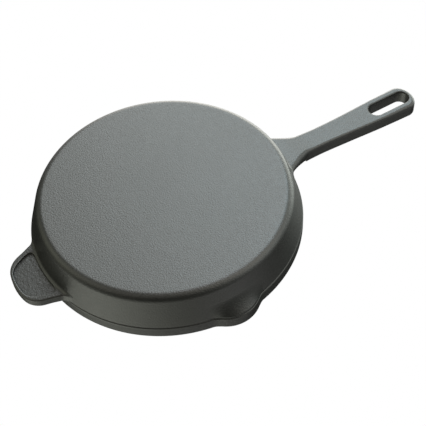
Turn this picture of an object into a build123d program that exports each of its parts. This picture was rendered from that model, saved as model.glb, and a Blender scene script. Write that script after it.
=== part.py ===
"""Cast iron skillet, in millimetres.

One iron casting, modelled as the regions a cook or a founder would name. Each region is its
own solid and meets its neighbours face to face. The pan stands on z = 0 with its opening up,
the origin is the centre of the resting face, the long handle points along +X, the helper
handle along -X, and the two pouring spouts are on +Y and -Y.
"""
from build123d import *
import os

# ---- driving dimensions ----------------------------------------------------------------
rim_radius = 130.0          # outside of the rim band, a nominal 26 cm skillet
pan_height = 46.0
base_corner_radius = 119.5  # where the line of the wall meets the resting face
corner_round = 10.0         # outside rounding between resting face and wall
floor_thickness = 5.0
wall_thickness = 4.4        # measured level
inner_corner_round = 9.0

band_height = 13.6
band_ledge = 0.6            # how far the rim band stands proud of the wall
band_thickness = 5.0
lip_round = 1.5
floor_join_radius = 104.0   # the floor disc ends here and the wall begins

spout_reach = 7.9           # how far the spout stands out past the rim band
spout_round = 31.0          # plan radius of the spout's nose
spout_drop = 28.0           # the spout's underside starts this far below the rim
spout_blend = 6.0           # plan rounding where the spout runs into the rim band
spout_start_depth = 0.8     # the underside starts this far inside the wall's surface
spout_half_width = 31.0     # the cut that makes the spout its own region

handle_thickness = 15.0
handle_under_height = 30.5  # underside of the handle at the rim
handle_rise = 3.15          # degrees, the handle rises outward
handle_reach = 297.0        # distance of the handle's end from the pan's axis
handle_buried = 14.0        # the handle is drawn this far into the pan, then trimmed to it
handle_buried_half = 38.0
handle_flare_direction = (0.6, -1)
handle_root_half = 24.5     # half width where the handle leaves the rim
handle_flare_length = 14.0  # the concave flare is mostly over this far from the rim
handle_flare_half = 16.2
handle_waist_at = 177.0
handle_waist_half = 12.0
handle_grip_at = 237.0
handle_grip_half = 14.0
handle_end_half = 15.9
handle_end_length = 13.0    # the end is a blunt half ellipse, this long
handle_under_round = 4.0
handle_top_round = 2.5
thumb_rest_end = 154.0      # the top is lower from the rim to here
thumb_rest_depth = 1.8
root_end = 165.0
loop_start = 232.0

slot_length = 48.0
slot_width = 16.6
slot_centre = 267.0
slot_edge_round = 1.2

helper_reach = 158.8
helper_under_height = 27.4  # underside of the tab at the rim
helper_thickness = 9.4
helper_rise = 4.0           # degrees, the tab rises outward
helper_buried = 12.0        # the tab is drawn this far into the pan, then trimmed to it
helper_buried_half = 44.0
helper_flare_direction = (0.5, -1)
helper_root_half = 33.5     # half width at the rim
helper_neck_length = 3.0    # the concave flare is mostly over this far from the rim
helper_neck_half = 31.8
helper_corner_at = 153.3    # where the straight sides meet the curved end
helper_corner_half = 24.7
helper_side_direction = (1, -0.42)
helper_corner_round = 6.0
helper_edge_round = 2.0
pocket_start = 131.5
pocket_end = 153.6
pocket_root_half = 27.0
pocket_end_half = 19.5
pocket_depth = 1.6
pocket_corner_round = 6.0

clear_of_all = 150.0        # half size of the blocks that cut regions apart

# ---- places worked out from them ---------------------------------------------------------
band_bottom = pan_height - band_height
wall_top_radius = rim_radius - band_ledge
inner_top_radius = rim_radius - band_thickness
spout_centre = rim_radius + spout_reach - spout_round
spout_bottom = pan_height - spout_drop


def wall_radius(height):
    """Outside radius of the flared wall at a height."""
    share = height / band_bottom
    return base_corner_radius + (wall_top_radius - base_corner_radius) * share


def rounded_section(corners, roundings):
    """Closed section in the XZ plane; each rounding is (x, z, radius) at one of its corners."""
    section = make_face(Polyline(*[(x, 0, z) for x, z in corners], close=True))
    for x, z, radius in roundings:
        corner = section.vertices().sort_by_distance((x, 0, z))[0]
        section = fillet(corner, radius)
    return section


def slab(low, high):
    """Box between two corner points."""
    size = [b - a for a, b in zip(low, high)]
    middle = [(a + b) / 2 for a, b in zip(low, high)]
    return Pos(*middle) * Box(*size)


def disc(radius, bottom, top):
    """Upright cylinder about the pan's axis."""
    return Pos(0, 0, bottom) * Cylinder(radius, top - bottom, align=(Align.CENTER, Align.CENTER, Align.MIN))


def pan_outside():
    """Everything inside the outer surface of floor and wall, up to the band."""
    corners = [
        (0, 0),
        (base_corner_radius, 0),
        (wall_top_radius, band_bottom),
        (0, band_bottom),
    ]
    return revolve(rounded_section(corners, [(base_corner_radius, 0, corner_round)]), Axis.Z)


def pan_cavity():
    """The room inside the pan, up to the band."""
    inner_corner = wall_radius(floor_thickness) - wall_thickness
    corners = [
        (0, floor_thickness),
        (inner_corner, floor_thickness),
        (inner_top_radius, band_bottom),
        (0, band_bottom),
    ]
    roundings = [(inner_corner, floor_thickness, inner_corner_round)]
    return revolve(rounded_section(corners, roundings), Axis.Z)


def spout_cone(side, inset):
    """Underside of a spout, as a cone that widens up to the band; side is +1 or -1."""
    low_radius = wall_radius(spout_bottom) - spout_centre - inset - spout_start_depth
    high_radius = spout_round - band_ledge - inset
    cone = Cone(low_radius, high_radius, band_bottom - spout_bottom,
                align=(Align.CENTER, Align.CENTER, Align.MIN))
    return Pos(0, side * spout_centre, spout_bottom) * cone


def band_plan(radius, nose_radius, blend):
    """Plan of the rim with a rounded nose on +Y and -Y, blended into the circle."""
    plan = Circle(radius)
    for side in (1, -1):
        plan += Pos(0, side * spout_centre) * Circle(nose_radius)
    return fillet(plan.vertices(), blend)


def band_ring():
    """Rim band with both spouts, from the ledge to the lip."""
    outer = band_plan(rim_radius, spout_round, spout_blend)
    inner = band_plan(inner_top_radius, spout_round - band_thickness, spout_blend + band_thickness)
    ring = Pos(0, 0, band_bottom) * extrude(outer - inner, band_height)
    return fillet(ring.faces().sort_by(Axis.Z)[-1].edges(), lip_round)


def spout_region(side):
    """The block that a spout is cut out with."""
    well_inside = spout_centre - wall_thickness
    well_outside = rim_radius + 2 * spout_reach
    near, far = sorted((side * well_inside, side * well_outside))
    return slab((-spout_half_width, near, spout_bottom), (spout_half_width, far, pan_height))


def pan_regions():
    """Floor, wall, rim band and the two spouts."""
    wall = pan_outside() - pan_cavity()
    for side in (1, -1):
        wall += spout_cone(side, 0) - pan_cavity()
    for side in (1, -1):
        wall -= spout_cone(side, wall_thickness)
    ring = band_ring()
    pan_floor = wall & disc(floor_join_radius, 0, floor_thickness)
    pan_wall = wall - disc(floor_join_radius, 0, floor_thickness)
    left_block = spout_region(1)
    spout_left = (pan_wall & left_block) + (ring & left_block)
    for side in (1, -1):
        pan_wall -= spout_region(side)
        ring -= spout_region(side)
    regions = {
        "pan_floor": pan_floor,
        "pan_wall": pan_wall,
        "spout_left": spout_left,
        "spout_right": mirror(spout_left, Plane.XZ),
    }
    far = clear_of_all
    regions["rim_handle_side"] = ring & slab((0, -far, band_bottom), (far, far, pan_height))
    regions["rim_helper_side"] = ring & slab((-far, -far, band_bottom), (0, far, pan_height))
    return regions


def mirrored_outline(side, end):
    """Flat face from one side curve, its mirror image and the end curve between them."""
    start = side @ 0
    closing = Line((start.X, -start.Y), (start.X, start.Y))
    return make_face(side + end + mirror(side, Plane.XZ) + closing)


def outline_edges(plate, which):
    """Edges round the lowest (0) or highest (-1) face, without the straight one inside the pan."""
    edges = plate.faces().sort_by(Axis.Z)[which].edges()
    return edges.sort_by(Axis.X)[1:]


def handle_outline():
    """Plan of the long handle: flared root, narrow waist, widening to a blunt round end."""
    end_at = handle_reach - handle_end_length
    side = Spline(
        (rim_radius - handle_buried, handle_buried_half),
        (rim_radius, handle_root_half),
        (rim_radius + handle_flare_length, handle_flare_half),
        (handle_waist_at, handle_waist_half),
        (handle_grip_at, handle_grip_half),
        (end_at, handle_end_half),
        tangents=[handle_flare_direction, (1, 0)],
    )
    end = EllipticalCenterArc((end_at, 0), handle_end_length, handle_end_half, -90, arc_size=180)
    return mirrored_outline(side, end)


def rising_plane(height, rise):
    """Plane of a handle's underside: at a height where it leaves the rim, then rising outward."""
    level = Plane(origin=(rim_radius, 0, height), x_dir=(1, 0, 0), z_dir=(0, 0, 1))
    return level.rotated((0, -rise, 0))


def slot_rim_edges(plate, from_rim):
    """Edges where the hanging slot breaks through the handle's two faces."""
    near = 0.1
    found = []
    for edge in plate.edges().filter_by(GeomType.CIRCLE) + plate.edges().filter_by(GeomType.LINE):
        place = edge.center()
        within_length = abs(place.X - from_rim) < slot_length / 2 + near
        within_width = abs(place.Y) < slot_width / 2 + near
        on_face = min(abs(place.Z), abs(place.Z - handle_thickness)) < near
        if within_length and within_width and on_face:
            found.append(edge)
    return found


def long_handle():
    """The whole long handle, still running into the pan."""
    outline = Pos(-rim_radius, 0) * handle_outline()
    plate = extrude(outline, handle_thickness)
    plate = fillet(outline_edges(plate, 0), handle_under_round)
    plate = fillet(outline_edges(plate, -1), handle_top_round)
    from_rim = slot_centre - rim_radius
    plate -= extrude(Pos(from_rim, 0) * SlotOverall(slot_length, slot_width), handle_thickness)
    plate = fillet(slot_rim_edges(plate, from_rim), slot_edge_round)
    rest = slab(
        (-clear_of_all, -clear_of_all, handle_thickness - thumb_rest_depth),
        (thumb_rest_end - rim_radius, clear_of_all, 2 * handle_thickness),
    )
    return rising_plane(handle_under_height, handle_rise) * (plate - rest)


def helper_outline():
    """Plan of the helper tab, drawn along +X: concave flares, straight sides, rounded end."""
    corner = (helper_corner_at, helper_corner_half)
    side = Spline(
        (rim_radius - helper_buried, helper_buried_half),
        (rim_radius, helper_root_half),
        (rim_radius + helper_neck_length, helper_neck_half),
        corner,
        tangents=[helper_flare_direction, helper_side_direction],
    )
    end = ThreePointArc(corner, (helper_reach, 0), (helper_corner_at, -helper_corner_half))
    outline = mirrored_outline(side, end)
    return fillet(outline.vertices().sort_by(Axis.X)[-2:], helper_corner_round)


def helper_tab():
    """The helper handle with its pocket, still running into the pan, turned to -X."""
    tab = extrude(helper_outline(), helper_thickness)
    tab = fillet(outline_edges(tab, 0), helper_edge_round)
    tab = fillet(outline_edges(tab, -1), helper_edge_round)
    pocket_plan = Polygon(
        (pocket_start, -pocket_root_half),
        (pocket_end, -pocket_end_half),
        (pocket_end, pocket_end_half),
        (pocket_start, pocket_root_half),
        align=None,
    )
    pocket_plan = fillet(pocket_plan.vertices(), pocket_corner_round)
    tab -= extrude(pocket_plan, pocket_depth)
    risen = rising_plane(helper_under_height, helper_rise) * Pos(-rim_radius, 0) * tab
    return Rot(0, 0, 180) * risen


def handle_regions(pan_solid):
    """Long handle in three regions and the helper handle, all trimmed to the pan's outside."""
    handle = long_handle() - pan_solid
    cuts = {
        "handle_root": (0, root_end),
        "handle_grip": (root_end, loop_start),
        "hanging_loop": (loop_start, 2 * handle_reach),
    }
    regions = {}
    for name, (start, stop) in cuts.items():
        regions[name] = handle & slab((start, -clear_of_all, 0), (stop, clear_of_all, clear_of_all))
    regions["helper_handle"] = helper_tab() - pan_solid
    return regions


def build():
    """Every region of the casting, by name."""
    regions = pan_regions()
    solid_band = Pos(0, 0, band_bottom) * extrude(Circle(rim_radius), band_height)
    pan_solid = pan_outside() + solid_band
    regions.update(handle_regions(pan_solid))
    return regions


os.makedirs("parts", exist_ok=True)
for node_name, shape in build().items():
    solids = shape.solids()
    export_step(solids[0] if len(solids) == 1 else Compound(children=solids), f"parts/{node_name}.step")
    print(node_name, len(solids), "solid", round(shape.volume), "mm3")
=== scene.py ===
"""Looks of the cast iron skillet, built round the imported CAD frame.

The CAD solids are plain, so every region of the casting gets a finer mesh that stands for it.
The pan is swept from one wall section, pushed out at the two spouts. The long handle and the
helper tab are the zero surfaces of smooth distance fields, so they flow into the pan as cast
iron does. Lengths are in millimetres until a mesh is made, and the frame is the CAD's own.
"""
import math

import bmesh
import bpy
import numpy as np
from mathutils import Matrix, Vector


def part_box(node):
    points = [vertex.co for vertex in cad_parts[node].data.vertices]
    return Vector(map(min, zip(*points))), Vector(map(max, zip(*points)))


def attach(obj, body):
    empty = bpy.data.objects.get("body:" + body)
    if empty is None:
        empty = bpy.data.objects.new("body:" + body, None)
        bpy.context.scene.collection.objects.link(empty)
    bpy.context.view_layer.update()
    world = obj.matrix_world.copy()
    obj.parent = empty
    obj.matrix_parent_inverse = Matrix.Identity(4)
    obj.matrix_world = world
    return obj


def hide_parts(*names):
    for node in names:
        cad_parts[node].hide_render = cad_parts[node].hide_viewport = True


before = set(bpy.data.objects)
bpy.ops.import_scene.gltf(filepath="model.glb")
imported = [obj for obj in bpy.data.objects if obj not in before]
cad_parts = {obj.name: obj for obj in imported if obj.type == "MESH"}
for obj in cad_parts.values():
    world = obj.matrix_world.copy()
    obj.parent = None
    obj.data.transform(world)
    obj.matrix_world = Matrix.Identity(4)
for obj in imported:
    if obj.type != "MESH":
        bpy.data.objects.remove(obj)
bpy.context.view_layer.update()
MM = 0.001


def measure(node):
    """Lowest and highest corner of a CAD node, in millimetres."""
    low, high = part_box(node)
    return np.array(low) / MM, np.array(high) / MM


# ---- sizes that the frame gives ----------------------------------------------------------
floor_join = measure("pan_floor")[1][0]
floor_top = measure("pan_floor")[1][2]
wall_top_radius, band_bottom = measure("pan_wall")[1][[0, 2]]
rim_radius, pan_height = measure("rim_handle_side")[1][[0, 2]]
spout_reach = measure("spout_left")[1][1]
root_end = measure("handle_root")[1][0]
loop_start = measure("hanging_loop")[0][0]
handle_end = measure("hanging_loop")[1][0]
helper_end = -measure("helper_handle")[0][0]
helper_under, helper_top = measure("helper_handle")[0][2], measure("helper_handle")[1][2]

# ---- sizes of the pan, close to the CAD's driving dimensions -----------------------------
BASE_CORNER_RADIUS = 119.5
CORNER_ROUND = 8.5
INNER_CORNER_ROUND = 9.0
WALL_THICKNESS = 4.4
BAND_THICKNESS = 5.0
LIP_ROUND = 1.5
# The ledge under the rim band: a fine groove, then a small rounded step outwards. Each pair is
# how far out from the wall's top radius, and how far up from the band's lower edge.
LEDGE = [
    (0, 0), (-0.4, 0.1), (-0.7, 0.4), (-0.6, 0.7), (-0.2, 0.9), (0.15, 1.15), (0.42, 1.6), (0.6, 2.4),
]
SPOUT_ROUND = 31.0
SPOUT_BOTTOM = 18.0
SPOUT_BLEND = 3.5
SPOUT_RAMP = 1.6            # over 1, the spout grows faster near the band than near its bottom
SPOUT_INNER_BLEND = 1.6     # times the outer blend
SPOUT_REGION_TURN = math.radians(13.8)
NOSE_TURN = 0.5             # radians from the middle of a spout, beyond which it has no nose
# Points along each stretch of the wall's section.
FLOOR_POINTS, EDGE_POINTS, BEND_POINTS, WALL_POINTS, BAND_POINTS, LIP_POINTS = 40, 4, 18, 26, 10, 7

# ---- sizes of the long handle ------------------------------------------------------------
# Places along X, and half the width there.
HANDLE_HALF_WIDTHS = [
    (112, 45), (122, 30.0), (130, 24.2), (137, 20.7), (146, 16.5),
    (158, 12.8), (176, 12.1), (208, 13.0), (247, 15.0), (284, 16.5),
]
HANDLE_THICKNESS = 15.0
HANDLE_UNDER = 30.5         # height of the underside at the rim
HANDLE_RISE = math.radians(3.15)
HANDLE_END_LENGTH = 13.0
HANDLE_TOP_ROUND = 2.6
# The lower edges are rounded more at the root and at the end than along the grip.
UNDER_ROUND, UNDER_ROUND_ROOT, UNDER_ROUND_END = 2.8, 5.0, 1.4
ROOT_ROUND_LENGTH = 38.0
END_ROUND_FROM, END_ROUND_TO = 250.0, 285.0
# The middle of the handle stands this much over a straight line.
HANDLE_BOW, HANDLE_BOW_CENTRE, HANDLE_BOW_HALF = 1.2, 206.0, 68.0
# Towards the pan the underside comes down by this much, and the top by a third of that.
ROOT_DROP, ROOT_DROP_FROM, ROOT_DROP_TO = 1.5, 138.0, 168.0
ROOT_DROP_THICKENS = 0.67
ROOT_DRAFT = 9.0            # how much wider each side of the root is below than above
ROOT_DRAFT_FROM, ROOT_DRAFT_TO = -5.0, 28.0     # past the rim, where the draft fades out
THUMB_REST_END, THUMB_REST_STEP, THUMB_REST_DEPTH = 153.4, 1.0, 2.7
SLOT_LENGTH, SLOT_WIDTH, SLOT_CENTRE = 48.0, 16.6, 267.0
SLOT_DRAFT = 0.05           # narrower by this much for every millimetre upwards
SLOT_EDGE_BLEND = 2.0

# ---- sizes of the helper tab -------------------------------------------------------------
# Places along X, before the tab is turned to -X, and half the width there.
HELPER_HALF_WIDTHS = [
    (112, 46), (121, 40), (127, 34.4), (131, 32.8), (136, 30.9), (150, 26.5), (165, 20.4),
]
HELPER_UNDER = 27.4         # height of the underside at the rim
HELPER_THICKNESS = 9.4
HELPER_RISE = math.radians(4.0)
# The end falls back by y squared over the curve; its corners are blended over the second width.
HELPER_END_CURVE, HELPER_CORNER = 110.0, 9.0
HELPER_UNDER_ROUND, HELPER_TOP_ROUND = 1.7, 2.2
POCKET_START = 130.4
POCKET_HALF, POCKET_HALF_AT, POCKET_TAPER = 27.4, 132.0, 0.42
POCKET_BORDER = 2.9
POCKET_DEPTH = 2.4
POCKET_END_CORNER, POCKET_START_CORNER = 7.0, 11.0
POCKET_FLOOR_BLEND, POCKET_EDGE_BLEND = 0.6, 1.0

# ---- how both handles meet the pan -------------------------------------------------------
ROOT_BLEND = 3.2
ROOT_BLEND_REACH = 0.98     # share of the blend that stays next to the handle
INSIDE_PAN = 0.4            # how far the meshes run on inside the pan's surface
HANDLE_PITCH, HELPER_PITCH = 0.6, 0.5       # grid on which the surfaces are drawn


# ---- smooth arithmetic -------------------------------------------------------------------
def smooth_max(a, b, blend):
    """Larger of two fields, rounded over a width."""
    overlap = np.maximum(blend - np.abs(a - b), 0) / blend
    return np.maximum(a, b) + overlap**2 * blend / 4


def smooth_min(a, b, blend):
    return -smooth_max(-a, -b, blend)


def smooth_step(low, high, x):
    share = np.clip((x - low) / (high - low), 0, 1)
    return share * share * (3 - 2 * share)


def smooth_curve(points):
    """Function through a few points, with no overshoot between them."""
    xs, ys = np.array(points, float).T
    steps = np.diff(ys) / np.diff(xs)
    slopes = np.zeros(len(xs))
    slopes[0], slopes[-1] = steps[0], steps[-1]
    inner = steps[:-1] * steps[1:] > 0
    slopes[1:-1][inner] = 2 / (1 / steps[:-1][inner] + 1 / steps[1:][inner])

    def curve(x):
        x = np.clip(x, xs[0], xs[-1])
        k = np.clip(np.searchsorted(xs, x) - 1, 0, len(xs) - 2)
        width = xs[k + 1] - xs[k]
        t = (x - xs[k]) / width
        start = (1 + 2 * t) * (1 - t) ** 2 * ys[k] + t * (1 - t) ** 2 * width * slopes[k]
        stop = t**2 * (3 - 2 * t) * ys[k + 1] + t**2 * (t - 1) * width * slopes[k + 1]
        return start + stop

    return curve


# ---- making meshes -----------------------------------------------------------------------
def wear_of(points, normals, edges):
    """How sharply the surface bends outwards at each vertex, from 0 on a flat to 1 on an edge."""
    a, b = edges[:, 0], edges[:, 1]
    span = points[b] - points[a]
    length = np.maximum(np.sum(span**2, 1), 1e-9)
    bend = np.sum((normals[b] - normals[a]) * span, 1) / length
    total = np.bincount(a, bend, len(points)) + np.bincount(b, bend, len(points))
    count = np.bincount(a, minlength=len(points)) + np.bincount(b, minlength=len(points))
    return np.clip(total / np.maximum(count, 1) * 2.2, 0, 1)


def cast_piece(name, points, faces, normals=None, caps=(), pebble=None):
    """Object from points in millimetres. caps are faces inside the metal, where regions meet."""
    mesh = bpy.data.meshes.new(name)
    mesh.from_pydata((np.asarray(points) * MM).tolist(), [], [*faces, *caps])
    mesh.validate()
    mesh.update()
    mesh.shade_smooth()
    if caps:
        first_cap = len(faces)
        sharp = {key for polygon in mesh.polygons[first_cap:] for key in polygon.edge_keys}
        for edge in mesh.edges:
            edge.use_edge_sharp = edge.key in sharp
    edge_ends = np.array([edge.vertices[:] for edge in mesh.edges])
    vertex_normals = np.array([vertex.normal[:] for vertex in mesh.vertices])
    worn = wear_of(np.asarray(points), vertex_normals if normals is None else normals, edge_ends)
    for label, values in (("wear", worn), ("pebble", pebble)):
        layer = mesh.attributes.new(label, "FLOAT", "POINT")
        if values is not None:
            layer.data.foreach_set("value", np.asarray(values, np.float32))
    if normals is not None:
        mesh.normals_split_custom_set_from_vertices(normals.tolist())
    piece = bpy.data.objects.new(name, mesh)
    bpy.context.scene.collection.objects.link(piece)
    return piece


def stand_for(piece, node, material):
    """The piece shows in place of a CAD node, in cast iron."""
    piece.data.materials.append(material)
    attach(piece, "root")
    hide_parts(node)
    return piece


# ---- the pan -----------------------------------------------------------------------------
def wall_radius(height):
    """Outside radius of the flared wall, carried straight up to the band."""
    share = np.minimum(height, band_bottom) / band_bottom
    return BASE_CORNER_RADIUS + (wall_top_radius - BASE_CORNER_RADIUS) * share


def line(start, stop, count):
    """Points from start towards stop, without stop itself."""
    shares = np.arange(count)[:, None] / count
    return np.array(start) + (np.array(stop) - np.array(start)) * shares


def rounded_corner(before, corner, after, radius, count):
    """Points of the arc that rounds a corner of the section."""
    corner = np.array(corner, float)
    inward = (np.array(before) - corner) / np.linalg.norm(np.array(before) - corner)
    outward = (np.array(after) - corner) / np.linalg.norm(np.array(after) - corner)
    half = math.acos(np.clip(inward @ outward, -1, 1)) / 2
    middle = (inward + outward) / np.linalg.norm(inward + outward)
    centre = corner + middle * radius / math.sin(half)
    start = corner + inward * radius / math.tan(half) - centre
    stop = corner + outward * radius / math.tan(half) - centre
    shares = np.linspace(0, 1, count)[:, None]
    blend = start * (1 - shares) + stop * shares
    return centre + blend / np.linalg.norm(blend, axis=1)[:, None] * radius


def section_side(height, corner, corner_round, band_radius, ledge, lip_end):
    """One side of the wall's section, from the axis to the middle of the lip."""
    wall_end = tuple(ledge[0])
    floor_edge = (floor_join, height)
    bend = rounded_corner((0, height), corner, wall_end, corner_round, BEND_POINTS)
    band_end, band_top = (band_radius, band_bottom), (band_radius, pan_height)
    lip = rounded_corner(band_end, band_top, lip_end, LIP_ROUND, LIP_POINTS)
    return np.concatenate(
        [
            line((0, height), floor_edge, FLOOR_POINTS),
            line(floor_edge, bend[0], EDGE_POINTS),
            bend[:-1],
            line(bend[-1], wall_end, WALL_POINTS),
            ledge,
            line(ledge[-1], lip[0], BAND_POINTS)[1:],
            lip,
            [lip_end],
        ]
    )


def wall_section():
    """Outer and inner side of the section, point for point across the thickness."""
    ledge = np.array([(wall_top_radius + out, band_bottom + up) for out, up in LEDGE])
    inner_radius = rim_radius - BAND_THICKNESS
    inner_ledge = np.array([(inner_radius, band_bottom + up) for _, up in LEDGE])
    inner_corner = (wall_radius(floor_top) - WALL_THICKNESS, floor_top)
    lip_end = (rim_radius - BAND_THICKNESS / 2, pan_height)
    outer = section_side(0, (BASE_CORNER_RADIUS, 0), CORNER_ROUND, rim_radius, ledge, lip_end)
    inner = section_side(
        floor_top, inner_corner, INNER_CORNER_ROUND, inner_radius, inner_ledge, lip_end
    )
    return outer, inner


def spout_push(turn, height, inset, blend):
    """How far the wall is pushed out at an angle from the middle of a spout."""
    below = np.maximum(band_bottom - height, 0)
    nose_centre = spout_reach - SPOUT_ROUND
    room = (SPOUT_ROUND - inset) ** 2 - (nose_centre * np.sin(turn)) ** 2
    nose = nose_centre * np.cos(turn) + np.sqrt(np.maximum(room, 0))
    nose = np.where((room > 0) & (np.abs(turn) < NOSE_TURN), nose, 0)
    full = smooth_max(rim_radius - inset, nose, blend + below * 0.5) - (rim_radius - inset)
    rise = np.clip(1 - below / (band_bottom - SPOUT_BOTTOM), 0, 1)
    return full * rise**SPOUT_RAMP


def pan_grid():
    """Outer and inner surface of the pan as (section point, angle, xyz) arrays, and the angles."""
    plain = np.radians(np.arange(0, 360, 0.5))
    extra = np.radians(np.concatenate([np.arange(70, 110, 0.5), np.arange(250, 290, 0.5)]) + 0.25)
    angles = np.sort(np.concatenate([plain, extra]))
    turn = np.angle(np.exp(1j * (angles - math.pi / 2)))
    turn = np.where(np.abs(turn) < math.pi / 2, turn, np.angle(np.exp(1j * (angles + math.pi / 2))))
    outer, inner = wall_section()
    pushes = []
    inner_blend = SPOUT_BLEND * SPOUT_INNER_BLEND
    for side, inset, blend in ((outer, 0.0, SPOUT_BLEND), (inner, BAND_THICKNESS, inner_blend)):
        radius, height = side[:, :1], side[:, 1:]
        push = spout_push(turn[None], height, inset, blend)
        pushes.append(np.where(radius > floor_join, push, 0))
    lip_push = (pushes[0][-1] + pushes[1][-1]) / 2
    grids = []
    for side, push in zip((outer, inner), pushes):
        push[-1] = lip_push
        radius = side[:, :1] + push
        height = np.broadcast_to(side[:, 1:], radius.shape)
        grids.append(np.stack([radius * np.cos(angles), radius * np.sin(angles), height], -1))
    return grids, angles, turn


def pan_regions(turn, angles, heights):
    """Region number of every cell between neighbouring section points and angles."""
    count = len(heights) - 1
    wall_start = FLOOR_POINTS
    band_start = FLOOR_POINTS + EDGE_POINTS + BEND_POINTS - 1 + WALL_POINTS
    middle_turn = (turn + np.roll(turn, -1)) / 2
    near_spout = np.abs(middle_turn) < SPOUT_REGION_TURN
    cell_angle = angles + 1e-6      # just inside the cell, so that none lies on an axis
    regions = np.zeros((count, len(angles)), int)
    regions[wall_start:band_start] = 1
    regions[band_start:] = np.where(np.cos(cell_angle) > 0, 2, 3)
    above = np.array(heights[:-1]) > SPOUT_BOTTOM
    above[:wall_start] = False
    for number, left in ((4, True), (5, False)):
        side = near_spout & ((np.sin(cell_angle) > 0) == left)
        regions[np.ix_(above, side)] = number
    return regions


def region_mesh(regions, number, outer, inner):
    """Closed mesh of one region: its outer and inner cells, and caps where it meets the others."""
    rows, columns = outer.shape[:2]
    mine = regions == number
    points, index = [], {}

    def vertex(side, row, column):
        column %= columns
        if row == rows - 1:
            side = 0
        if row == 0:
            column = 0
        key = (side, row, column)
        if key not in index:
            index[key] = len(points)
            points.append((outer, inner)[side][row, column])
        return index[key]

    def polygon(*corners):
        ring = [vertex(*corner) for corner in corners]
        return [v for k, v in enumerate(ring) if v != ring[k - 1]]

    def skin(side, row, column, beyond):
        """One cell of the outer or the inner surface."""
        above = row + 1
        return polygon(
            (side, row, column), (side, above, column), (side, above, beyond), (side, row, beyond)
        )

    def across(start, stop):
        """Cap through the thickness of the metal, from one grid point to the next."""
        return polygon((0, *start), (0, *stop), (1, *stop), (1, *start))

    faces, caps = [], []
    for row, column in zip(*np.nonzero(mine)):
        beyond = (column + 1) % columns
        above = row + 1
        faces.append(skin(0, row, column, beyond)[::-1])
        faces.append(skin(1, row, column, beyond))
        if row > 0 and not mine[row - 1, column]:
            caps.append(across((row, column), (row, beyond))[::-1])
        if above < rows - 1 and not mine[above, column]:
            caps.append(across((above, column), (above, beyond)))
        if not mine[row, column - 1]:
            caps.append(across((row, column), (above, column))[::-1])
        if not mine[row, beyond]:
            caps.append(across((row, beyond), (above, beyond)))
    return np.array(points), faces, caps


def make_pan(material):
    """The six regions of the pan itself."""
    (outer, inner), angles, turn = pan_grid()
    regions = pan_regions(turn, angles, wall_section()[0][:, 1])
    names = {
        0: ("floor_disc", "pan_floor"),
        1: ("flared_wall", "pan_wall"),
        2: ("rim_near_handle", "rim_handle_side"),
        3: ("rim_near_helper", "rim_helper_side"),
        4: ("pouring_lip_left", "spout_left"),
        5: ("pouring_lip_right", "spout_right"),
    }
    for number, (name, node) in names.items():
        points, faces, caps = region_mesh(regions, number, outer, inner)
        stand_for(cast_piece(name, points, [f[::-1] for f in faces], caps=caps), node, material)


# ---- surfaces from distance fields -------------------------------------------------------
def gradient(field, points):
    """Direction in which a field grows fastest, and its steepness."""
    step = 0.02
    parts = []
    for axis in range(3):
        shift = np.zeros(3)
        shift[axis] = step
        parts.append((field(*(points + shift).T) - field(*(points - shift).T)) / (2 * step))
    return np.stack(parts, 1)


def surface_of(field, low, high, pitch):
    """Points, faces and normals where a field is zero: surface nets, drawn onto the exact surface."""
    counts = np.ceil((np.array(high) - np.array(low)) / pitch).astype(int) + 1
    axes = [start + pitch * np.arange(count) for start, count in zip(low, counts)]
    values = field(*np.meshgrid(*axes, indexing="ij"))
    inside = values < 0
    cells = tuple(counts - 1)
    total, hits = np.zeros(cells + (3,)), np.zeros(cells)
    crossings = []
    for axis in range(3):
        first = [slice(None)] * 3
        second = [slice(None)] * 3
        first[axis], second[axis] = slice(None, -1), slice(1, None)
        where = np.argwhere(inside[tuple(first)] != inside[tuple(second)])
        others = [k for k in range(3) if k != axis]
        keep = np.all([(where[:, k] > 0) & (where[:, k] < counts[k] - 1) for k in others], axis=0)
        where = where[keep]
        ahead = where.copy()
        ahead[:, axis] += 1
        here, there = values[tuple(where.T)], values[tuple(ahead.T)]
        spot = where.astype(float)
        spot[:, axis] += here / (here - there)
        corners = []
        for back_a, back_b in ((1, 1), (0, 1), (0, 0), (1, 0)):
            cell = where.copy()
            cell[:, others[0]] -= back_a
            cell[:, others[1]] -= back_b
            np.add.at(total, tuple(cell.T), spot)
            np.add.at(hits, tuple(cell.T), 1)
            corners.append(np.ravel_multi_index(cell.T, cells))
        quads = np.stack(corners, 1)
        turned = (here < 0) != (axis == 1)
        quads[~turned] = quads[~turned][:, ::-1]
        crossings.append(quads)
    used = np.flatnonzero(hits)
    number = np.full(hits.size, -1)
    number[used] = np.arange(len(used))
    points = total.reshape(-1, 3)[used] / hits.ravel()[used][:, None] * pitch + np.array(low)
    for _ in range(4):
        slope = gradient(field, points)
        steep = np.maximum(np.sum(slope**2, 1), 0.05)
        points = points - np.clip(field(*points.T) / steep, -pitch, pitch)[:, None] * slope
    slope = gradient(field, points)
    normals = slope / np.maximum(np.linalg.norm(slope, axis=1), 1e-9)[:, None]
    return points, number[np.concatenate(crossings)], normals


def plate_field(outline, height, thickness, under_round, top_round):
    """Plate of an outline's shape from height 0 to its thickness, with rounded edges."""
    middle = thickness / 2
    round_off = np.where(height < middle, under_round, top_round)
    level = np.abs(height - middle) - middle
    out, up = outline + round_off, level + round_off
    beyond = np.hypot(np.maximum(out, 0), np.maximum(up, 0))
    return beyond + np.minimum(np.maximum(out, up), 0) - round_off


def pan_outside(x, y, z):
    """Distance outwards from the pan's outer surface, near its wall and rim."""
    ledge = (rim_radius - wall_top_radius) * smooth_step(band_bottom, band_bottom + 1, z)
    surface = wall_radius(z) + ledge
    return (np.hypot(x, y) - surface) * 0.97


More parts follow.
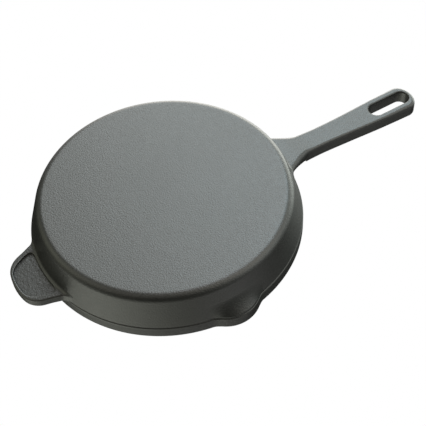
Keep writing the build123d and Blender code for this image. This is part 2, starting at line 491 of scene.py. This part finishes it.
def strip_outline(half_width, x, y):
    """Distance from a strip along X whose half width changes along it."""
    reach = 0.05
    slope = (half_width(x + reach) - half_width(x - reach)) / (2 * reach)
    return (np.abs(y) - half_width(x)) / np.sqrt(1 + slope**2)


handle_half_width = smooth_curve(HANDLE_HALF_WIDTHS)
helper_half_width = smooth_curve(HELPER_HALF_WIDTHS)


def joined_to_pan(body, x, y, z):
    """A handle's body, blended into the pan and ending just inside its surface."""
    pan = pan_outside(x, y, z)
    joined = smooth_min(body, pan, ROOT_BLEND)
    joined = np.maximum(joined, body - ROOT_BLEND * ROOT_BLEND_REACH)
    return np.maximum(joined, -(pan + INSIDE_PAN))


def handle_field(x, y, z):
    """Long handle with its slot."""
    end_at = handle_end - HANDLE_END_LENGTH
    end_half = handle_half_width(end_at)
    along = x - rim_radius
    bow = HANDLE_BOW * (1 - ((x - HANDLE_BOW_CENTRE) / HANDLE_BOW_HALF) ** 2)
    drop = ROOT_DROP * (1 - smooth_step(ROOT_DROP_FROM, ROOT_DROP_TO, x))
    height = (z - HANDLE_UNDER - bow + drop - along * math.tan(HANDLE_RISE)) * math.cos(HANDLE_RISE)
    near_pan = 1 - smooth_step(rim_radius + ROOT_DRAFT_FROM, rim_radius + ROOT_DRAFT_TO, x)
    draft = ROOT_DRAFT * (height / HANDLE_THICKNESS - 0.5) * near_pan
    strip = strip_outline(handle_half_width, x, y) + draft
    stretched = np.hypot((x - end_at) / HANDLE_END_LENGTH, y / end_half)
    growth = np.hypot((x - end_at) / HANDLE_END_LENGTH**2, y / end_half**2)
    steepness = growth / np.maximum(stretched, 1e-6)
    ellipse = (stretched - 1) / np.maximum(steepness, 1e-6)
    outline = np.where(x < end_at, strip, ellipse)
    lowered = THUMB_REST_DEPTH * (1 - smooth_step(THUMB_REST_END, THUMB_REST_END + THUMB_REST_STEP, x))
    thickness = HANDLE_THICKNESS + ROOT_DROP_THICKENS * drop - lowered
    at_root = 1 - smooth_step(rim_radius, rim_radius + ROOT_ROUND_LENGTH, x)
    at_end = smooth_step(END_ROUND_FROM, END_ROUND_TO, x)
    under_round = UNDER_ROUND + UNDER_ROUND_ROOT * at_root + UNDER_ROUND_END * at_end
    body = plate_field(outline, height, thickness, under_round, HANDLE_TOP_ROUND)
    beside = np.maximum(np.abs(x - SLOT_CENTRE) - (SLOT_LENGTH - SLOT_WIDTH) / 2, 0)
    slot = np.hypot(beside, y) - SLOT_WIDTH / 2 + SLOT_DRAFT * height
    body = smooth_max(body, -slot, SLOT_EDGE_BLEND)
    return joined_to_pan(body, x, y, z)


def pocket_outline(x, y):
    """Distance from the outline of the helper's pocket."""
    sides = np.abs(y) - (POCKET_HALF - POCKET_TAPER * (x - POCKET_HALF_AT))
    end = x - (helper_end - POCKET_BORDER - y**2 / HELPER_END_CURVE)
    inner = POCKET_START - np.hypot(x, y)
    return smooth_max(smooth_max(sides, end, POCKET_END_CORNER), inner, POCKET_START_CORNER)


def helper_field(x, y, z):
    """Helper tab drawn along +X, with the pocket in its underside."""
    strip = strip_outline(helper_half_width, x, y)
    end = x - (helper_end - y**2 / HELPER_END_CURVE)
    outline = smooth_max(strip, end, HELPER_CORNER)
    height = (z - HELPER_UNDER - (x - rim_radius) * math.tan(HELPER_RISE)) * math.cos(HELPER_RISE)
    body = plate_field(outline, height, HELPER_THICKNESS, HELPER_UNDER_ROUND, HELPER_TOP_ROUND)
    pocket = smooth_max(pocket_outline(x, y), height - POCKET_DEPTH, POCKET_FLOOR_BLEND)
    body = smooth_max(body, -pocket, POCKET_EDGE_BLEND)
    return joined_to_pan(body, x, y, z)


def stretch_between(points, faces, normals, low, high):
    """The part of a surface between two planes across X, closed with flat caps."""
    mesh = bmesh.new()
    for point in points:
        mesh.verts.new(point)
    mesh.verts.ensure_lookup_table()
    for face in faces:
        mesh.faces.new([mesh.verts[k] for k in face])
    caps = set()
    for place, side in ((low, -1), (high, 1)):
        if place is None:
            continue
        geometry = mesh.verts[:] + mesh.edges[:] + mesh.faces[:]
        cut = bmesh.ops.bisect_plane(
            mesh,
            geom=geometry,
            dist=1e-6,
            plane_co=(place, 0, 0),
            plane_no=(side, 0, 0),
            clear_outer=True,
        )
        rim = [item for item in cut["geom_cut"] if isinstance(item, bmesh.types.BMEdge)]
        closed = bmesh.ops.edgenet_fill(mesh, edges=rim)
        caps.update(closed["faces"])
    mesh.verts.index_update()
    points = np.array([vertex.co[:] for vertex in mesh.verts])
    plain = [[v.index for v in face.verts] for face in mesh.faces if face not in caps]
    capping = [[v.index for v in face.verts] for face in mesh.faces if face in caps]
    mesh.free()
    return points, plain, capping


def make_handle(material):
    """Root, grip and hanging loop, cut from one smooth surface."""
    low = (rim_radius - 16, -44, HANDLE_UNDER - 6)
    high = (handle_end + 3, 44, HANDLE_UNDER + 28)
    points, faces, normals = surface_of(handle_field, low, high, HANDLE_PITCH)
    stretches = {
        "handle_flare": ("handle_root", None, root_end),
        "grip_bar": ("handle_grip", root_end, loop_start),
        "slotted_end": ("hanging_loop", loop_start, None),
    }
    for name, (node, start, stop) in stretches.items():
        piece_points, plain, caps = stretch_between(points, faces, normals, start, stop)
        slope = gradient(handle_field, piece_points)
        slope /= np.maximum(np.linalg.norm(slope, axis=1), 1e-9)[:, None]
        stand_for(cast_piece(name, piece_points, plain, slope, caps), node, material)


def make_helper(material):
    """The helper tab, turned to -X."""
    low = (rim_radius - 16, -46, helper_under - 5)
    high = (helper_end + 2, 46, helper_top + 5)
    points, faces, normals = surface_of(helper_field, low, high, HELPER_PITCH)
    above = points[:, 2] - HELPER_UNDER - (points[:, 0] - rim_radius) * math.tan(HELPER_RISE)
    rough = (pocket_outline(points[:, 0], points[:, 1]) < -0.5) * (above < POCKET_DEPTH + 1)
    turned = np.array([-1, -1, 1])
    piece = cast_piece("helper_tab", points * turned, faces.tolist(), normals * turned, pebble=rough)
    stand_for(piece, "helper_handle", material)


# ---- material ----------------------------------------------------------------------------
class Nodes:
    """Short way to add and join shader nodes."""

    def __init__(self, tree):
        self.tree = tree
        tree.nodes.clear()

    def add(self, kind, inputs=None, **settings):
        node = self.tree.nodes.new(kind)
        for key, value in settings.items():
            setattr(node, key, value)
        for key, value in (inputs or {}).items():
            if isinstance(value, bpy.types.NodeSocket):
                self.tree.links.new(value, node.inputs[key])
            else:
                node.inputs[key].default_value = value
        return node

    def noise(self, place, scale, detail=3.0, roughness=0.55):
        node = self.add("ShaderNodeTexNoise", {"Scale": scale, "Detail": detail, "Roughness": roughness})
        self.tree.links.new(place, node.inputs["Vector"])
        return node.outputs["Fac"]

    def span(self, value, low, high, out_low, out_high):
        node = self.add("ShaderNodeMapRange", {0: value, 1: low, 2: high, 3: out_low, 4: out_high})
        return node.outputs[0]

    def math(self, operation, a, b=0.0):
        node = self.add("ShaderNodeMath", {0: a, 1: b}, operation=operation)
        return node.outputs[0]

    def vector(self, operation, inputs, result="Vector"):
        return self.add("ShaderNodeVectorMath", inputs, operation=operation).outputs[result]

    def mix(self, share, a, b):
        node = self.add("ShaderNodeMix", data_type="RGBA")
        for key, value in ((0, share), (6, a), (7, b)):
            if isinstance(value, bpy.types.NodeSocket):
                self.tree.links.new(value, node.inputs[key])
            else:
                node.inputs[key].default_value = value
        return node.outputs[2]


DARK_IRON, LIGHT_IRON = (0.018, 0.019, 0.017, 1), (0.028, 0.029, 0.027, 1)
SPECKLE_COLOUR, BARE_IRON = (0.05, 0.052, 0.05, 1), (0.10, 0.10, 0.095, 1)
BUMP_DISTANCE = 0.00021


def cast_iron():
    """Seasoned cast iron: dark, satin, with a fine pebbled grain and edges worn a little bare."""
    material = bpy.data.materials.new("seasoned_cast_iron")
    material.use_nodes = True
    nodes = Nodes(material.node_tree)
    place = nodes.add("ShaderNodeTexCoord").outputs["Object"]
    wear = nodes.add("ShaderNodeAttribute", attribute_name="wear").outputs["Fac"]
    pebble = nodes.add("ShaderNodeAttribute", attribute_name="pebble").outputs["Fac"]
    clouds = nodes.noise(place, 14.0, 4.0)
    blotches = nodes.noise(place, 160.0, 3.0)
    grain = nodes.noise(place, 720.0, 2.0, 0.6)
    speckle = nodes.noise(place, 1300.0, 2.0)
    colour = nodes.mix(nodes.span(clouds, 0.3, 0.7, 0, 1), DARK_IRON, LIGHT_IRON)
    colour = nodes.mix(nodes.span(speckle, 0.35, 0.75, 0, 0.35), colour, SPECKLE_COLOUR)
    worn = nodes.math("MULTIPLY", wear, nodes.span(nodes.noise(place, 90.0, 4.0), 0.35, 0.65, 0.2, 1.0))
    colour = nodes.mix(nodes.math("MULTIPLY", worn, 0.3), colour, BARE_IRON)
    rough = nodes.span(clouds, 0.3, 0.7, 0.30, 0.35)
    rough = nodes.math("ADD", rough, nodes.span(blotches, 0.3, 0.7, -0.02, 0.02))
    rough = nodes.math("ADD", rough, nodes.math("MULTIPLY", pebble, 0.12))
    coarse = nodes.math("MULTIPLY", nodes.noise(place, 330.0, 2.0), nodes.math("MULTIPLY", pebble, 2.0))
    fine = nodes.math("ADD", grain, nodes.math("MULTIPLY", speckle, 0.35))
    fine = nodes.math("ADD", fine, nodes.math("MULTIPLY", blotches, 0.3))
    height = nodes.math("ADD", fine, coarse)
    bump = nodes.add("ShaderNodeBump", {"Strength": 1.0, "Distance": BUMP_DISTANCE, "Height": height})
    shader = nodes.add(
        "ShaderNodeBsdfPrincipled",
        {"Base Color": colour, "Roughness": rough, "Normal": bump.outputs[0], "Specular IOR Level": 1.0},
    )
    output = nodes.add("ShaderNodeOutputMaterial")
    material.node_tree.links.new(shader.outputs[0], output.inputs[0])
    return material


# ---- stage, light and camera -------------------------------------------------------------
CAMERA_PLACE = (-0.23313, 0.52727, -0.68228)
CAMERA_AIM = (0.03555, 0.02760, 0.03050)
CAMERA_ROLL = math.radians(-4.47)
CAMERA_LENS, CAMERA_SENSOR = 81.2, 36.0
CAMERA_SHIFT = (-0.00078, 0.00019)
FLOOR_COLOUR = (0.82, 0.82, 0.81, 1)
FLOOR_GLOW = 0.35
FLOOR_SIZE, FLOOR_HEIGHT = 12, -0.0004


def make_floor():
    """Pale floor under the resting face. It is seen only from above, so the underside stays in view."""
    bpy.ops.mesh.primitive_plane_add(size=FLOOR_SIZE, location=(0, 0, FLOOR_HEIGHT))
    floor = bpy.context.object
    floor.name = "floor"
    material = bpy.data.materials.new("pale_floor")
    material.use_nodes = True
    nodes = Nodes(material.node_tree)
    pale = nodes.add("ShaderNodeBsdfDiffuse", {"Color": FLOOR_COLOUR})
    clear = nodes.add("ShaderNodeBsdfTransparent")
    facing = nodes.add("ShaderNodeNewGeometry").outputs["Backfacing"]
    glow = nodes.add("ShaderNodeEmission", {"Color": (1, 1, 1, 1), "Strength": FLOOR_GLOW})
    lit = nodes.add("ShaderNodeAddShader", {0: pale.outputs[0], 1: glow.outputs[0]})
    mixed = nodes.add("ShaderNodeMixShader", {0: facing, 1: lit.outputs[0], 2: clear.outputs[0]})
    output = nodes.add("ShaderNodeOutputMaterial")
    material.node_tree.links.new(mixed.outputs[0], output.inputs[0])
    floor.data.materials.append(material)
    floor.visible_diffuse = floor.visible_glossy = floor.visible_shadow = False


# Soft light from all round the pan: bearing from +X towards +Y and height above the horizon, both
# in degrees, how tight the light is, then its red, green and blue strength.
SOFT_LIGHTS = [
    (-54, 0, 12, (4.54, 4.45, 4.18)),
    (-40, -50, 45, (2.70, 3.59, 3.90)),
    (-66, -36, 45, (3.14, 3.43, 3.51)),
    (-40, -66, 45, (2.66, 2.54, 2.58)),
    (0, 90, 30, (1.00, 1.00, 1.00)),
    (-18, 0, 12, (3.02, 3.26, 3.03)),
    (-66, -50, 45, (1.23, 1.14, 0.98)),
    (180, 32, 12, (1.29, 1.33, 1.17)),
    (36, -58, 12, (1.33, 1.26, 1.10)),
    (36, -27, 12, (1.13, 1.19, 1.14)),
    (-144, -32, 12, (0.81, 0.83, 0.65)),
    (144, 27, 12, (0.77, 0.79, 0.69)),
    (72, 27, 12, (0.48, 0.48, 0.47)),
    (108, 32, 12, (0.29, 0.29, 0.26)),
    (180, -58, 12, (0.42, 0.39, 0.35)),
]


def make_world():
    """White behind the object, and soft lights that only the object meets."""
    world = bpy.data.worlds.new("studio")
    bpy.context.scene.world = world
    world.use_nodes = True
    nodes = Nodes(world.node_tree)
    outward = nodes.add("ShaderNodeTexCoord").outputs["Generated"]
    total = None
    for bearing, elevation, focus, strength in SOFT_LIGHTS:
        turn, rise = math.radians(bearing), math.radians(elevation)
        middle = (math.cos(turn) * math.cos(rise), math.sin(turn) * math.cos(rise), math.sin(rise))
        nearness = nodes.vector("DOT_PRODUCT", {0: outward, 1: middle}, "Value")
        away = nodes.math("MULTIPLY", nodes.math("SUBTRACT", nearness, 1.0), focus)
        light = nodes.vector("SCALE", {0: strength, "Scale": nodes.math("EXPONENT", away)})
        total = light if total is None else nodes.vector("ADD", {0: total, 1: light})
    studio = nodes.add("ShaderNodeBackground", {"Color": total})
    white = nodes.add("ShaderNodeBackground", {"Color": (1, 1, 1, 1)})
    seen = nodes.add("ShaderNodeLightPath").outputs["Is Camera Ray"]
    mixed = nodes.add("ShaderNodeMixShader", {0: seen, 1: studio.outputs[0], 2: white.outputs[0]})
    output = nodes.add("ShaderNodeOutputWorld")
    world.node_tree.links.new(mixed.outputs[0], output.inputs[0])


def make_camera():
    """Camera below the pan, so the picture shows it upside down."""
    data = bpy.data.cameras.new("camera")
    data.lens = CAMERA_LENS
    data.shift_x, data.shift_y = CAMERA_SHIFT
    data.sensor_width = CAMERA_SENSOR
    camera = bpy.data.objects.new("camera", data)
    bpy.context.scene.collection.objects.link(camera)
    place, aim = Vector(CAMERA_PLACE), Vector(CAMERA_AIM)
    forward = (aim - place).normalized()
    right = forward.cross(Vector((0, 0, -1))).normalized()
    level = Matrix((right, right.cross(forward), -forward)).transposed()
    camera.location = place
    camera.rotation_mode = "QUATERNION"
    camera.rotation_quaternion = (level @ Matrix.Rotation(CAMERA_ROLL, 3, "Z")).to_quaternion()
    bpy.context.scene.camera = camera


bpy.context.scene.view_settings.view_transform = "Standard"
iron = cast_iron()
make_pan(iron)
make_handle(iron)
make_helper(iron)
make_floor()
make_world()
make_camera()
